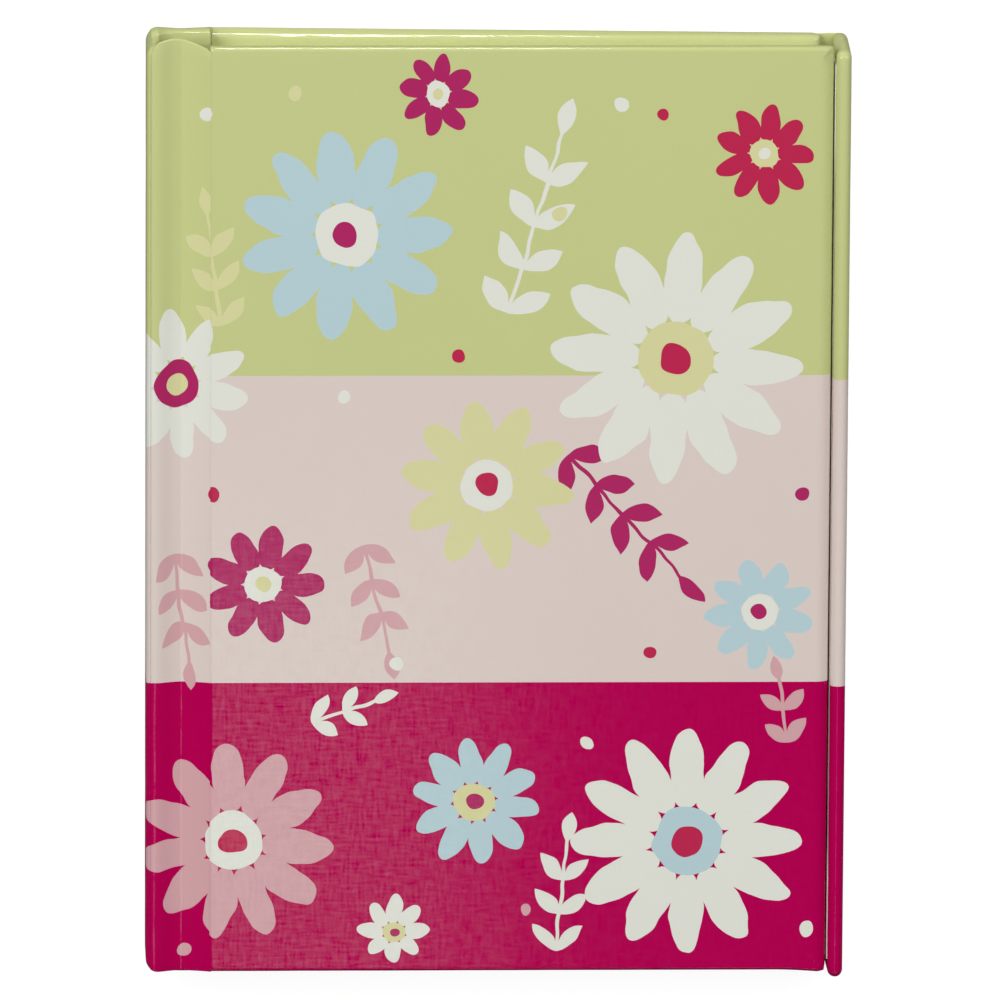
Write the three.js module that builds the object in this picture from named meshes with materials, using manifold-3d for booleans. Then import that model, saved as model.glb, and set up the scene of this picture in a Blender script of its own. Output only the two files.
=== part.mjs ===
// A magnetic closure journal, lying on its back cover with the spine at -X and the head at +Y.
// Case-bound: three boards and a narrow flap board in one printed paper covering, sewn sections inside.
// Millimetres, +Z up. The origin is under the middle of the journal, on the surface it lies on.

import * as THREE from 'three';
import { mergeVertices } from 'three/addons/utils/BufferGeometryUtils.js';
import Module from 'manifold-3d';

const wasm = await Module();
wasm.setup();

// Leaves
const leafWidth = 128;
const leafHeight = 180;
const sectionCount = 5;
const sectionThickness = 1.45;
const sectionGap = 0.05;
const foldRadius = 0.6;
const endpaper = 0.2;
const leafGap = 0.1;

// Boards and their printed paper
const headSquare = 3;
const foreEdgeSquare = 2.8;
const coveringPaper = 0.3;
const glueLine = 0.1;
const boardThickness = 2.2;
const spineBoardThickness = 1.7;
const boardEdgeRadius = 0.9;
const boardCornerRadius = 1.2;
const turnIn = 14;
const spineTurnIn = 1.9;
const leastFlat = 0.05;

// Spine, joints and grooves, measured from the outer face of the spine
const hollow = 0.5;
const threadLayer = 0.3;
const mullThickness = 0.3;
const linerThickness = 0.3;
const grooveStart = 12.5;
const creaseFromSpine = 7.0;
const creaseGap = 0.15;
const grooveDepth = 1.6;
const spineFootClearance = 0.45;

// Fore-edge flap
const flapGap = 0.4;
const flapDrop = 1.0;
const flapJointWidth = 2.8;
const flapJointClearance = 0.3;
const flapLiningMargin = 1.2;

// Magnets
const magnetLength = 30;
const magnetWidth = 5;
const magnetThickness = 1.4;
const magnetClearance = 0.1;
const magnetFromEnd = 38;
const magnetInset = 0.7;
const flapMagnetThickness = 1.0;

// Bands, thread and mull
const bandRadius = 0.8;
const bandTail = 12;
const kettleFromEnd = 15;
const stitchWidth = 0.6;
const stitchPitch = 15;
const mullMargin = 8;

// Sizes that follow from the ones above
const coverThickness = boardThickness + 2 * (coveringPaper + glueLine);
const spineThickness = spineBoardThickness + 2 * (coveringPaper + glueLine);
const boardHeight = leafHeight + 2 * headSquare;
const blockBack = spineThickness + hollow + linerThickness + mullThickness + threadLayer;
const blockFore = blockBack + leafWidth;
const blockBottom = coverThickness + 2 * (endpaper + leafGap);
const sectionPitch = sectionThickness + sectionGap;
const blockTop = blockBottom + sectionCount * sectionPitch;
const frontInner = blockTop + 2 * (endpaper + leafGap);
const journalThickness = frontInner + coverThickness;
const frontFore = blockFore + foreEdgeSquare;
const flapThickness = coverThickness;
const flapInner = frontFore + flapGap + endpaper;
const flapOuter = flapInner + flapThickness;
const backFore = flapInner + flapJointClearance - flapJointWidth;
const grooveTop = journalThickness - grooveDepth;
const creaseHeight = grooveTop + glueLine;
const slabCorner = boardCornerRadius + coveringPaper + glueLine;
const slabEdge = boardEdgeRadius + coveringPaper + glueLine;
const turningStart = creaseFromSpine + creaseGap;

// Closed mesh to solid and back
function toSolid(geometry) {
  const bare = geometry.index ? geometry.toNonIndexed() : geometry.clone();
  bare.deleteAttribute('normal');
  bare.deleteAttribute('uv');
  const merged = mergeVertices(bare, 1e-4);
  const mesh = new wasm.Mesh({
    numProp: 3,
    vertProperties: new Float32Array(merged.attributes.position.array),
    triVerts: new Uint32Array(merged.index.array),
  });
  return new wasm.Manifold(mesh);
}

function toGeometry(solid) {
  const mesh = solid.getMesh();
  const geometry = new THREE.BufferGeometry();
  geometry.setAttribute('position', new THREE.BufferAttribute(mesh.vertProperties.slice(), 3));
  geometry.setIndex(new THREE.BufferAttribute(mesh.triVerts.slice(), 1));
  geometry.computeVertexNormals();
  return geometry;
}

// A box between two corners
function block(low, high) {
  const size = high.map((value, i) => value - low[i]);
  const geometry = new THREE.BoxGeometry(...size);
  geometry.translate(...low.map((value, i) => value + size[i] / 2));
  return geometry;
}

// A rectangle with rounded corners, centred
function roundedRectangle(width, height, radius) {
  const x = width / 2;
  const y = height / 2;
  const shape = new THREE.Shape();
  shape.moveTo(-x + radius, -y);
  shape.lineTo(x - radius, -y);
  shape.absarc(x - radius, -y + radius, radius, -Math.PI / 2, 0);
  shape.lineTo(x, y - radius);
  shape.absarc(x - radius, y - radius, radius, 0, Math.PI / 2);
  shape.lineTo(-x + radius, y);
  shape.absarc(-x + radius, y - radius, radius, Math.PI / 2, Math.PI);
  shape.lineTo(-x, -y + radius);
  shape.absarc(-x + radius, -y + radius, radius, Math.PI, 1.5 * Math.PI);
  return shape;
}

// A flat slab between two corners, with rounded corners and rolled edges; 'thin' is its thickness axis
function slab(low, high, corner, edge, thin = 'z') {
  const [dx, dy, dz] = high.map((value, i) => value - low[i]);
  const thickness = thin === 'z' ? dz : dx;
  const width = thin === 'z' ? dx : dz;
  const roll = Math.min(edge, thickness / 2 - leastFlat);
  const outline = roundedRectangle(width, dy, Math.max(corner, roll + leastFlat));
  const geometry = new THREE.ExtrudeGeometry(outline, {
    depth: thickness - 2 * roll,
    bevelThickness: roll,
    bevelSize: roll,
    bevelOffset: -roll,
    bevelSegments: 4,
    curveSegments: 3,
  });
  geometry.translate(0, 0, roll - thickness / 2);
  if (thin === 'x') geometry.rotateY(Math.PI / 2);
  geometry.translate(...low.map((value, i) => (value + high[i]) / 2));
  return geometry;
}

// A profile in XZ drawn as a shape, carried along Y between two places
function alongY(shape, from, to) {
  const geometry = new THREE.ExtrudeGeometry(shape, { depth: to - from, bevelEnabled: false, curveSegments: 4 });
  geometry.rotateX(Math.PI / 2);
  geometry.translate(0, to, 0);
  return geometry;
}

// Printed paper round a board: outer face, four wrapped edges, and turn-ins that leave a window inside
function wrapping(low, high, window, thin = 'z', edge = slabEdge) {
  const pocketLow = low.map((value) => value + coveringPaper);
  const pocketHigh = high.map((value) => value - coveringPaper);
  const outer = toSolid(slab(low, high, slabCorner, edge, thin));
  const pocket = toSolid(slab(pocketLow, pocketHigh, slabCorner - coveringPaper, edge - coveringPaper, thin));
  return outer.subtract(pocket).subtract(toSolid(block(...window)));
}

// The board that fills a wrapping, short of it by the glue line all round
function boardIn(low, high, thin = 'z') {
  const inset = coveringPaper + glueLine;
  const inner = low.map((value) => value + inset);
  const outer = high.map((value) => value - inset);
  return slab(inner, outer, boardCornerRadius, boardEdgeRadius, thin);
}

// Corners of the four covered boards: [low, high]
const half = boardHeight / 2;
const frontSlab = [[grooveStart, -half, frontInner], [frontFore, half, journalThickness]];
const backSlab = [[grooveStart, -half, 0], [backFore, half, coverThickness]];
const spineSlab = [[0, -half, 0], [spineThickness, half, journalThickness]];
const flapSlab = [[flapInner, -half - flapDrop, 0], [flapOuter, half - flapDrop, journalThickness]];

// The two heights along Y where magnets sit
const magnetPlaces = { upper: half - magnetFromEnd, lower: magnetFromEnd - half };

// Corners of a magnet in the front board's fore edge, or of its pocket, which is open at that edge
function coverMagnetBox(y, clearance = 0, opening = 0) {
  const middle = (frontInner + journalThickness) / 2;
  const fore = frontFore - coveringPaper - glueLine - magnetInset;
  return [
    [fore - magnetWidth - clearance, y - magnetLength / 2 - clearance, middle - magnetThickness / 2 - clearance],
    [fore + opening, y + magnetLength / 2 + clearance, middle + magnetThickness / 2 + clearance],
  ];
}

// Corners of a magnet let into the flap board's inner face, or of its pocket, which is open at that face
function flapMagnetBox(y, clearance = 0, opening = 0) {
  const top = journalThickness - coveringPaper - glueLine - magnetInset;
  const inner = flapInner + coveringPaper + 2 * glueLine;
  const middle = y - flapDrop;
  return [
    [inner - opening, middle - magnetLength / 2 - clearance, top - magnetWidth - clearance],
    [inner + flapMagnetThickness + clearance, middle + magnetLength / 2 + clearance, top + clearance],
  ];
}

// A board with an open pocket for each magnet
function boardWithMagnets(board, boxFor) {
  const opening = magnetInset + coveringPaper;
  let solid = toSolid(board);
  for (const y of Object.values(magnetPlaces)) {
    solid = solid.subtract(toSolid(block(...boxFor(y, magnetClearance, opening))));
  }
  return toGeometry(solid);
}

function frontBoard() {
  return boardWithMagnets(boardIn(...frontSlab), coverMagnetBox);
}

function flapBoard() {
  return boardWithMagnets(boardIn(...flapSlab, 'x'), flapMagnetBox);
}

// The paper on the front board runs on to the crease in the middle of the groove
function frontCovering() {
  const [low, high] = frontSlab;
  const window = [
    [low[0] + turnIn, low[1] + turnIn, low[2] - 1],
    [high[0] - turnIn, high[1] - turnIn, low[2] + coveringPaper + glueLine / 2],
  ];
  const strip = block(
    [turningStart, -half + slabCorner, grooveTop - coveringPaper],
    [grooveStart + coveringPaper / 2, half - slabCorner, grooveTop],
  );
  return toGeometry(wrapping(low, high, window).add(toSolid(strip)));
}

function backCovering() {
  const [low, high] = backSlab;
  const window = [
    [low[0] + turnIn, low[1] + turnIn, high[2] - coveringPaper - glueLine / 2],
    [high[0] - turnIn, high[1] - turnIn, high[2] + 1],
  ];
  return toGeometry(wrapping(low, high, window));
}

function spineCovering() {
  const [low, high] = spineSlab;
  const window = [
    [high[0] - coveringPaper - glueLine / 2, low[1] + turnIn, low[2] + spineTurnIn],
    [high[0] + 1, high[1] - turnIn, high[2] - spineTurnIn - coveringPaper],
  ];
  return toGeometry(wrapping(low, high, window, 'x'));
}

function flapCovering() {
  const [low, high] = flapSlab;
  const window = [
    [low[0] - 1, low[1] + turnIn, low[2] + spineTurnIn],
    [low[0] + coveringPaper + glueLine / 2, high[1] - turnIn, high[2] - spineTurnIn],
  ];
  return toGeometry(wrapping(low, high, window, 'x', flapThickness / 2));
}

// Groove paper on the spine's side of the front crease
function frontJointStrip() {
  return block(
    [spineThickness, -half + slabCorner, grooveTop - coveringPaper],
    [creaseFromSpine - creaseGap, half - slabCorner, grooveTop],
  );
}

// Groove paper from the foot of the spine to the back board
function backJointStrip() {
  return block(
    [spineThickness + spineFootClearance, -half + slabCorner, grooveDepth],
    [grooveStart, half - slabCorner, grooveDepth + coveringPaper],
  );
}

// Paper hinge from the back board to the foot of the flap
function flapJointStrip() {
  const shape = new THREE.Shape();
  shape.moveTo(backFore, coverThickness / 2);
  shape.lineTo(backFore, coverThickness / 2 - coveringPaper);
  shape.quadraticCurveTo(backFore + coveringPaper, 0, backFore + slabEdge, 0);
  shape.lineTo(flapInner + flapJointClearance, 0);
  shape.lineTo(flapInner + flapJointClearance, coveringPaper);
  shape.lineTo(backFore + slabEdge, coveringPaper);
  shape.quadraticCurveTo(backFore + 2 * coveringPaper, coveringPaper, backFore + coveringPaper, coverThickness / 2);
  return alongY(shape, -half + slabCorner, half - slabCorner - flapDrop);
}

// Paper in the window of the spine's covering
function spineLiner() {
  return block(
    [spineThickness - linerThickness, -half + turnIn + leafGap, spineTurnIn + leafGap],
    [spineThickness, half - turnIn - leafGap, journalThickness - spineTurnIn - coveringPaper - leafGap],
  );
}

// Endpaper on the inner face of the flap
function flapLining() {
  return block(
    [flapInner - endpaper, -half - flapDrop + headSquare, slabEdge + flapLiningMargin],
    [flapInner, half - flapDrop - headSquare, journalThickness - slabEdge],
  );
}

function frontPastedown() {
  return block(
    [grooveStart + slabEdge, -leafHeight / 2, frontInner - endpaper],
    [blockFore, leafHeight / 2, frontInner],
  );
}

function backPastedown() {
  return block(
    [grooveStart + slabEdge, -leafHeight / 2, coverThickness],
    [backFore - slabEdge, leafHeight / 2, coverThickness + endpaper],
  );
}

// A sheet of endpaper between two places in X, resting at a height
function sheet(from, to, bottom) {
  return block([from, -leafHeight / 2, bottom], [to, leafHeight / 2, bottom + endpaper]);
}

// One sewn section: folded sheets, round at the fold
function section(bottom, from = blockBack, to = blockFore) {
  const top = bottom + sectionThickness;
  const fold = from === blockBack ? foldRadius : 0;
  const shape = new THREE.Shape();
  shape.moveTo(to, bottom);
  shape.lineTo(to, top);
  shape.lineTo(from + fold, top);
  if (fold > 0) {
    shape.absarc(from + fold, top - fold, fold, Math.PI / 2, Math.PI);
    shape.absarc(from + fold, bottom + fold, fold, Math.PI, 1.5 * Math.PI);
  } else {
    shape.lineTo(from, bottom);
  }
  return alongY(shape, -leafHeight / 2, leafHeight / 2);
}

function sectionBottom(index) {
  return blockBottom + (sectionCount - 1 - index) * sectionPitch;
}

// One thread: a run along the back section's fold, and a link stitch over all the folds at each station
function sewingThread() {
  const low = sectionBottom(sectionCount - 1) + sectionThickness / 2;
  const high = sectionBottom(0) + sectionThickness / 2;
  const reach = leafHeight / 2 - kettleFromEnd;
  const spaces = Math.round(2 * reach / stitchPitch);
  let solid = toSolid(block(
    [blockBack - threadLayer, -reach, low],
    [blockBack, reach, low + stitchWidth],
  ));
  for (let i = 0; i <= spaces; i += 1) {
    const y = reach * (2 * i / spaces - 1);
    solid = solid.add(toSolid(block(
      [blockBack - threadLayer, y - stitchWidth / 2, low],
      [blockBack, y + stitchWidth / 2, high],
    )));
  }
  return toGeometry(solid);
}

// Open-weave cloth glued over the folds
function mull() {
  const outer = spineThickness + hollow + linerThickness;
  return block(
    [outer, -leafHeight / 2 + mullMargin, blockBottom],
    [outer + mullThickness, leafHeight / 2 - mullMargin, blockTop - sectionGap],
  );
}

// Strong paper over the mull
function blockLiner() {
  const outer = spineThickness + hollow;
  return block(
    [outer, -leafHeight / 2, blockBottom],
    [outer + linerThickness, leafHeight / 2, blockTop - sectionGap],
  );
}

// Rolled band at the head (side 1) or the tail (side -1) of the folds, with a flat tail under the mull
function band(side) {
  const length = blockTop - sectionGap - blockBottom;
  const bead = new THREE.CylinderGeometry(bandRadius, bandRadius, length, 12);
  bead.rotateX(Math.PI / 2);
  const middle = blockBack - threadLayer + bandRadius;
  bead.translate(middle, side * (leafHeight / 2 + bandRadius + leafGap), blockBottom + length / 2);
  const ends = [side * (leafHeight / 2 - bandTail), side * (leafHeight / 2 + bandRadius + leafGap)];
  const tail = block(
    [blockBack - threadLayer, Math.min(...ends), blockBottom],
    [blockBack, Math.max(...ends), blockTop - sectionGap],
  );
  return toGeometry(toSolid(bead).add(toSolid(tail)));
}

// Surface finishes
const finishes = {
  print: { color: 0xc2c88a, roughness: 0.3 },
  spinePrint: { color: 0xd0c3bc, roughness: 0.3 },
  flapPrint: { color: 0xad004f, roughness: 0.3 },
  board: { color: 0x9b958b, roughness: 0.95 },
  endpaper: { color: 0xf3efe4, roughness: 0.9 },
  leaves: { color: 0xf6f1e3, roughness: 0.92 },
  mull: { color: 0xe4dfd0, roughness: 1 },
  liner: { color: 0xb08f66, roughness: 0.9 },
  thread: { color: 0xf4f1ea, roughness: 0.8 },
  band: { color: 0xb02a66, roughness: 0.7 },
  magnet: { color: 0xb9bcc0, roughness: 0.35, metalness: 0.9 },
};

const journal = new THREE.Group();

function place(name, finish, geometry) {
  const mesh = new THREE.Mesh(geometry, new THREE.MeshStandardMaterial({ metalness: 0, ...finishes[finish] }));
  mesh.name = name;
  journal.add(mesh);
}

place('back_board', 'board', boardIn(...backSlab));
place('back_covering', 'print', backCovering());
place('back_joint_strip', 'print', backJointStrip());
place('back_pastedown', 'endpaper', backPastedown());
place('spine_board', 'board', boardIn(...spineSlab, 'x'));
place('spine_covering', 'spinePrint', spineCovering());
place('spine_liner', 'liner', spineLiner());
place('front_joint_strip', 'spinePrint', frontJointStrip());
place('front_board', 'board', frontBoard());
place('front_covering', 'print', frontCovering());
place('front_pastedown', 'endpaper', frontPastedown());
place('flap_board', 'board', flapBoard());
place('flap_covering', 'flapPrint', flapCovering());
place('flap_joint_strip', 'flapPrint', flapJointStrip());
place('flap_lining', 'endpaper', flapLining());

place('front_flyleaf', 'endpaper', sheet(turningStart, blockFore, blockTop));
place('front_endpaper_hinge', 'endpaper', sheet(blockBack, creaseFromSpine - creaseGap, blockTop));
place('back_flyleaf', 'endpaper', sheet(blockBack, blockFore, coverThickness + endpaper + leafGap));
place('section_1_leaves', 'leaves', section(sectionBottom(0), turningStart));
place('section_1_fold', 'leaves', section(sectionBottom(0), blockBack, creaseFromSpine - creaseGap));
for (let i = 1; i < sectionCount; i += 1) {
  place(`section_${i + 1}`, 'leaves', section(sectionBottom(i)));
}
place('sewing_thread', 'thread', sewingThread());
place('mull', 'mull', mull());
place('block_liner', 'liner', blockLiner());
place('head_band', 'band', band(1));
place('tail_band', 'band', band(-1));

for (const [name, y] of Object.entries(magnetPlaces)) {
  place(`cover_magnet_${name}`, 'magnet', block(...coverMagnetBox(y)));
  place(`flap_magnet_${name}`, 'magnet', block(...flapMagnetBox(y)));
}

// The journal's middle goes over the origin
journal.position.set(-flapOuter / 2, flapDrop / 2, 0);

export default journal;
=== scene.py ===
import math

import bmesh
import bpy
from mathutils import Matrix, Vector, noise


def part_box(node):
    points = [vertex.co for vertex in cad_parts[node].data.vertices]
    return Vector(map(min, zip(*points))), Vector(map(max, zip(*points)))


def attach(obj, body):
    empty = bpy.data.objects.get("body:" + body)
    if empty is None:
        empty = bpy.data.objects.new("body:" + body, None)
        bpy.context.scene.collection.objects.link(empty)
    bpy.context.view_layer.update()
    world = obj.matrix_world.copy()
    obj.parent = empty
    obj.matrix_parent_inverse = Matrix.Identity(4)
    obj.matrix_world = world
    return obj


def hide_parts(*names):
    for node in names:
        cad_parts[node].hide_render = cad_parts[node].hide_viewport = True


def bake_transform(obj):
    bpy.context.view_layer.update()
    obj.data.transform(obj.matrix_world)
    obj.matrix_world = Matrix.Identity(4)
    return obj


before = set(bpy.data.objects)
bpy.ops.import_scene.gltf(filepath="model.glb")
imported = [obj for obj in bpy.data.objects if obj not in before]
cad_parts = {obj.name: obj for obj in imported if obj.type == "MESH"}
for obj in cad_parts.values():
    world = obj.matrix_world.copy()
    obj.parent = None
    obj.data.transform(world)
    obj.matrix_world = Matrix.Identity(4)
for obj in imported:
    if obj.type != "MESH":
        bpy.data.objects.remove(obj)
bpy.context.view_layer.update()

# CAMERA
# The journal lies on its back cover and is seen from far off, almost square on, a little from the head.
# The aim, distance and lean were fitted to the outline, the gap and the head edge in the photograph.
mm = 0.001
aim = Vector((0.84, 1.36, 7.3)) * mm
camera_distance = 2894.8 * mm
pixels_per_mm = 5.0616
picture_width = 1000
lean_to_head = math.radians(11.36)
lean_to_side = math.radians(-2.17)
camera_roll = math.radians(0.337)

toward_camera = Vector((
    math.sin(lean_to_side),
    math.sin(lean_to_head) * math.cos(lean_to_side),
    math.cos(lean_to_head) * math.cos(lean_to_side),
)).normalized()
camera_data = bpy.data.cameras.new("camera")
camera_data.lens = pixels_per_mm * camera_distance / mm * camera_data.sensor_width / picture_width
camera_data.clip_end = 20
camera = bpy.data.objects.new("camera", camera_data)
side = Vector((0, 1, 0)).cross(toward_camera).normalized()
upright = toward_camera.cross(side)
turned = Matrix((side, upright, toward_camera)).transposed() @ Matrix.Rotation(camera_roll, 3, "Z")
camera.matrix_world = Matrix.Translation(aim + camera_distance * toward_camera) @ turned.to_4x4()
add_to_scene = bpy.context.scene.collection.objects.link
add_to_scene(camera)
bpy.context.scene.camera = camera
bpy.context.scene.view_settings.view_transform = "Standard"


# FLOOR AND LIGHT
# A white table that shows only a faint shadow. A small bright softbox beyond the head draws the thin lines
# on the pressed edges, broad soft lights level the rest, and a dim panel above leaves a haze at the lower left.
floor_size = 3.0
floor_below = 0.05 * mm
floor_white = 0.16
floor_glow = 0.92
floor_roughness = 0.9
world_level = 0.04


class Line:
    """A shader socket, wrapped so that sums are written as sums"""

    def __init__(self, maker, socket):
        self.maker = maker
        self.socket = socket

    def output(self, index):
        return Line(self.maker, self.socket.node.outputs[index])

    def math(self, operation, *others):
        return self.maker.node("Math", {"operation": operation}, self, *others)

    def __add__(self, other): return self.math("ADD", other)
    def __radd__(self, other): return self.math("ADD", other)
    def __sub__(self, other): return self.math("SUBTRACT", other)
    def __mul__(self, other): return self.math("MULTIPLY", other)
    def __truediv__(self, other): return self.math("DIVIDE", other)
    def __pow__(self, other): return self.math("POWER", other)
    def __lt__(self, other): return self.math("LESS_THAN", other)
    def __gt__(self, other): return self.math("GREATER_THAN", other)


class Maker:
    """One material under construction. Its node method takes a node's type, its settings and its inputs."""

    def __init__(self, name):
        self.material = bpy.data.materials.new(name)
        self.material.use_nodes = True
        self.tree = self.material.node_tree
        self.tree.nodes.clear()
        self.output = self.tree.nodes.new("ShaderNodeOutputMaterial")

    def link(self, value, socket):
        if isinstance(value, Line):
            self.tree.links.new(value.socket, socket)
        elif value is not None:
            socket.default_value = value

    def node(self, kind, settings=None, *inputs, out=0, **named):
        made = self.tree.nodes.new("ShaderNode" + kind)
        for key, value in (settings or {}).items():
            setattr(made, key, value)
        for i, value in enumerate(inputs):
            self.link(value, made.inputs[i])
        for key, value in named.items():
            self.link(value, made.inputs[key.replace("_", " ")])
        return Line(self, made.outputs[out])

    def mix(self, factor, a, b):
        made = self.tree.nodes.new("ShaderNodeMix")
        made.data_type = "RGBA"
        for index, value in ((0, factor), (6, a), (7, b)):
            self.link(value, made.inputs[index])
        return Line(self, made.outputs[2])

    def noise(self, place, scale, detail=3.0, roughness=0.5):
        return self.node("TexNoise", None, Vector=place, Scale=scale, Detail=detail, Roughness=roughness)

    def surface(self, color, roughness, bump=None, height=0.0, **sockets):
        shader = self.tree.nodes.new("ShaderNodeBsdfPrincipled")
        self.link(color, shader.inputs["Base Color"])
        self.link(roughness, shader.inputs["Roughness"])
        for key, value in sockets.items():
            self.link(value, shader.inputs[key.replace("_", " ")])
        if bump is not None:
            normal = self.node("Bump", None, Strength=1.0, Distance=height, Height=bump)
            self.link(normal, shader.inputs["Normal"])
        self.tree.links.new(shader.outputs[0], self.output.inputs["Surface"])
        return self.material


def soft_light(name, place, size, watts, target=(0, 0, 0)):
    data = bpy.data.lights.new(name, "AREA")
    data.shape = "RECTANGLE"
    data.size, data.size_y = size
    data.energy = watts
    lamp = bpy.data.objects.new(name, data)
    lamp.location = place
    lamp.rotation_euler = (Vector(target) - Vector(place)).to_track_quat("-Z", "Y").to_euler()
    add_to_scene(lamp)


soft_light("head_softbox", (-0.008, 1.45, 0.085), (0.165, 0.14), 3.1)
soft_light("head_left_panel", (-1.3, 1.0, 1.5), (1.8, 1.4), 39.5)
soft_light("head_right_panel", (1.3, 1.0, 1.5), (1.8, 1.4), 30)
soft_light("tail_panel", (0.0, -2.2, 1.6), (2.4, 0.8), 12)
soft_light("haze_panel", (-0.045, -0.58, 1.5), (0.20, 0.56), 0.70, (-0.045, -0.58, 0))

world = bpy.data.worlds.new("studio")
bpy.context.scene.world = world
world.use_nodes = True
world_nodes = world.node_tree.nodes
world_links = world.node_tree.links
backdrop = world_nodes["Background"]
backdrop.inputs["Color"].default_value = (1, 1, 1, 1)
ray = world_nodes.new("ShaderNodeLightPath")
level = world_nodes.new("ShaderNodeMapRange")
level.inputs["To Min"].default_value = world_level
world_links.new(ray.outputs["Is Camera Ray"], level.inputs["Value"])
world_links.new(level.outputs[0], backdrop.inputs["Strength"])

floor_mesh = bpy.data.meshes.new("floor")
reach = floor_size / 2
floor_corners = [(-reach, -reach, 0), (reach, -reach, 0), (reach, reach, 0), (-reach, reach, 0)]
floor_mesh.from_pydata(floor_corners, [], [(0, 1, 2, 3)])
floor = bpy.data.objects.new("floor", floor_mesh)
add_to_scene(floor)
floor.location.z = -floor_below
table = Maker("white_table")
seen = table.node("LightPath")
glow = table.mix(seen, (0, 0, 0, 1), (floor_glow, floor_glow, floor_glow, 1))
floor_mesh.materials.append(table.surface(
    (floor_white, floor_white, floor_white, 1), floor_roughness,
    Specular_IOR_Level=0.0, Emission_Color=glow, Emission_Strength=1.0,
))


# PRINTED PAPER
# One sheet of paper, printed in three flat bands with scattered daisies and sprigs, then laminated with a
# gloss film. It is wrapped round the boards, so the print is laid out flat and runs on over every edge.
def srgb(red, green, blue):
    channels = [c / 255 for c in (red, green, blue)]
    return tuple(c / 12.92 if c <= 0.04045 else ((c + 0.055) / 1.055) ** 2.4 for c in channels) + (1.0,)


green = srgb(193, 199, 136)
pink = srgb(215, 201, 194)
magenta = srgb(176, 0, 79)
cream = srgb(221, 222, 212)
blue = srgb(178, 203, 208)
yellow = srgb(210, 208, 155)
crimson = srgb(184, 40, 78)
berry = srgb(170, 40, 96)
dusty = srgb(205, 160, 164)
pink_starts = 27.8 * mm
magenta_starts = -33.9 * mm

# Round the spine, past the first of these places, the same motifs come again on the back cover. Past the second,
# the flap has none.
repeat_from = -98 * mm
repeat_length = 166 * mm
plain_from = -218 * mm
plain_length = 140 * mm
print_map = "print"

# Each daisy: middle in mm, radius, number of petals, turn in degrees, and the colours of petals, eye and its dot
daisies = (
    ((35, 31), 25, 12, 5, cream, yellow, crimson),
    ((-30, 56), 21, 11, 0, blue, cream, berry),
    ((-12, 84), 8, 8, 10, berry, cream, yellow),
    ((52, 72), 10, 9, 0, crimson, yellow, cream),
    ((-64, 26), 15, 10, 12, cream, berry, yellow),
    ((-2, 6), 17, 10, 8, yellow, cream, crimson),
    ((-46, -14), 12, 9, 0, berry, cream, yellow),
    ((52, -20), 11, 9, 15, blue, cream, berry),
    ((-52, -66), 20, 11, 4, dusty, cream, crimson),
    ((38, -66), 23, 12, 0, cream, blue, crimson),
    ((-4, -58), 13, 10, 10, blue, yellow, berry),
    ((-20, -84), 7, 8, 0, cream, yellow, berry),
)

# Each sprig: foot in mm, direction in degrees, leaf length, pairs of leaves, colour
sprigs = (
    ((2, 40), 74, 9, 4, cream),
    ((-54, 38), 100, 7, 3, yellow),
    ((14, 12), -48, 8, 4, berry),
    ((-26, -6), -78, 7, 3, dusty),
    ((-36, -42), 20, 6, 2, cream),
    ((58, -46), 100, 6, 2, dusty),
    ((12, -88), 84, 7, 3, cream),
    ((-64, -8), -84, 7, 3, dusty),
)

# Each dot: place in mm, radius, colour
dots = (
    (24, 82, 1.6, cream), (32, 80, 1.2, crimson), (-40, 84, 1.5, yellow), (12, 60, 1.4, yellow),
    (-8, 32, 1.3, crimson), (60, 4, 1.4, berry), (-20, -30, 1.4, cream), (-62, -88, 1.5, dusty),
    (18, -46, 1.4, cream), (62, -84, 1.5, cream), (-56, 4, 1.3, crimson), (-58, 80, 1.4, cream),
    (30, -28, 1.3, crimson), (6, -80, 1.2, dusty), (-30, 24, 1.4, cream),
)

# Parts of a daisy as shares of its radius, and of a sprig as shares of its leaf's length
petal_length = 0.72
petal_gap = 0.80
eye_size = 0.30
eye_dot_size = 0.13
leaf_tilt = 0.8
leaf_width = 0.45
tip_length = 0.45
tip_width = 0.2
stem_beyond = 0.55
stem_width = 0.35 * mm

# The outlines look cut by hand, and the weave shows through the film as short uneven threads
hand_cut = 2.2 * mm
hand_scale = 150.0
thread_scale = 1700.0
thread_stretch = 0.16
cloud_scale = 40.0
dimple_scale = 260.0
grain_depth = 0.016 * mm


def daisy(maker, sheet, base, place, radius, count, turn, petals, eye, dot):
    """Long petals stand apart round an eye; one of them is drawn, on the angle from its middle"""
    offset = maker.node("VectorMath", {"operation": "SUBTRACT"}, sheet, (place[0] * mm, place[1] * mm, 0))
    distance = maker.node("VectorMath", {"operation": "LENGTH"}, offset, out=1)
    parts = maker.node("SeparateXYZ", None, offset)
    share = parts.output(1).math("ARCTAN2", parts).math("MULTIPLY_ADD", count / math.tau, turn / 360 * count + 0.5)
    aside = (share.math("FRACT") - 0.5) * distance
    length = radius * mm * petal_length
    half_width = length * math.pi / count * petal_gap
    lengthwise = distance.math("MULTIPLY_ADD", 2 / length, 1 - 2 * radius * mm / length)
    crosswise = aside * (math.tau / count / half_width)
    petal = lengthwise * lengthwise + crosswise * crosswise
    color = maker.mix(petal < 1.0, base, petals)
    color = maker.mix(distance < radius * mm * eye_size, color, eye)
    return maker.mix(distance < radius * mm * eye_dot_size, color, dot)


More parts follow.
